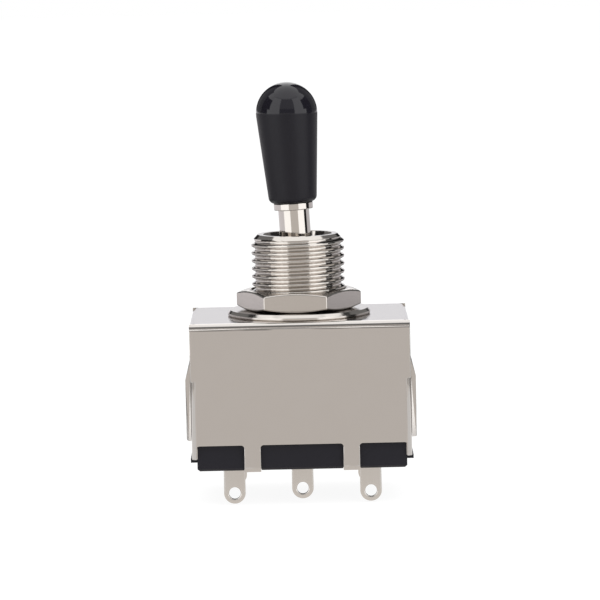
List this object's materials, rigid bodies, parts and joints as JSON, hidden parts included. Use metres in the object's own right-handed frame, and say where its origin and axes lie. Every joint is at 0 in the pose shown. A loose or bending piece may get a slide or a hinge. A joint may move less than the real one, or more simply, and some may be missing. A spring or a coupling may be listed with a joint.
{
  "type": "guitar pickup selector switch",
  "caption": "Three-way box toggle switch: bat lever in a threaded bushing, folded sheet case, moulded base and two rows of solder lugs.",
  "frame": {"origin": "on the bushing's axis, in the top face of the case, where the panel seats once nut and washer are off", "axes": "+Z along the bushing towards the lever's tip, +X along the case's long side to the right, -Y out of the front wall"},
  "size_m": [0.0294, 0.021, 0.0534],
  "materials": {
    "case_sheet": "satin nickel plate on rolled sheet",
    "base_plastic": "black moulded plastic",
    "plated_metal": "bright nickel plate on turned metal",
    "washer_metal": "bright nickel plate on a stamped washer",
    "nut_metal": "satin nickel plate",
    "lever_metal": "bright nickel plate on a turned rod",
    "tip_plastic": "black plastic, glossy at the dome",
    "slider_plastic": "natural white moulded plastic",
    "contact_metal": "spring bronze strip",
    "ball_steel": "bright steel",
    "lug_metal": "tinned and satin, stamped from brass strip"
  },
  "bodies": {
    "housing": {"case": "case_sheet", "base": "base_plastic", "guide_plate": "base_plastic", "bushing": "plated_metal", "ball_retainer": "plated_metal", "flat_washer": "washer_metal", "panel_nut": "nut_metal", "terminal_front_left": "lug_metal", "terminal_front_centre": "lug_metal", "terminal_front_right": "lug_metal", "terminal_rear_left": "lug_metal", "terminal_rear_centre": "lug_metal", "terminal_rear_right": "lug_metal"},
    "toggle": {"lever": "lever_metal", "lever_tip": "tip_plastic"},
    "carriage": {"slider": "slider_plastic", "contact_clip_front": "contact_metal", "contact_clip_rear": "contact_metal", "detent_spring_front": "ball_steel", "detent_spring_rear": "ball_steel"},
    "front_detent": {"detent_ball_front": "ball_steel"},
    "rear_detent": {"detent_ball_rear": "ball_steel"}
  },
  "joints": [
    {"name": "lever_tilt", "type": "hinge", "parent": "housing", "child": "toggle", "pos_m": [0, 0, 0.0052], "axis": [0, 1, 0], "range_deg": [-10.1, 15.9]},
    {"name": "slider_slide", "type": "slide", "parent": "housing", "child": "carriage", "axis": [1, 0, 0], "range_m": [-0.00351, 0.00223]},
    {"name": "detent_ball_front_travel", "type": "slide", "parent": "carriage", "child": "front_detent", "axis": [0, -1, 0], "range_m": [0, 0.0003]},
    {"name": "detent_ball_rear_travel", "type": "slide", "parent": "carriage", "child": "rear_detent", "axis": [0, 1, 0], "range_m": [0, 0.0003]}
  ],
  "couplings": [
    {"joint": "lever_tilt", "follows": "slider_slide", "rad_per_m": -79.1}
  ]
}
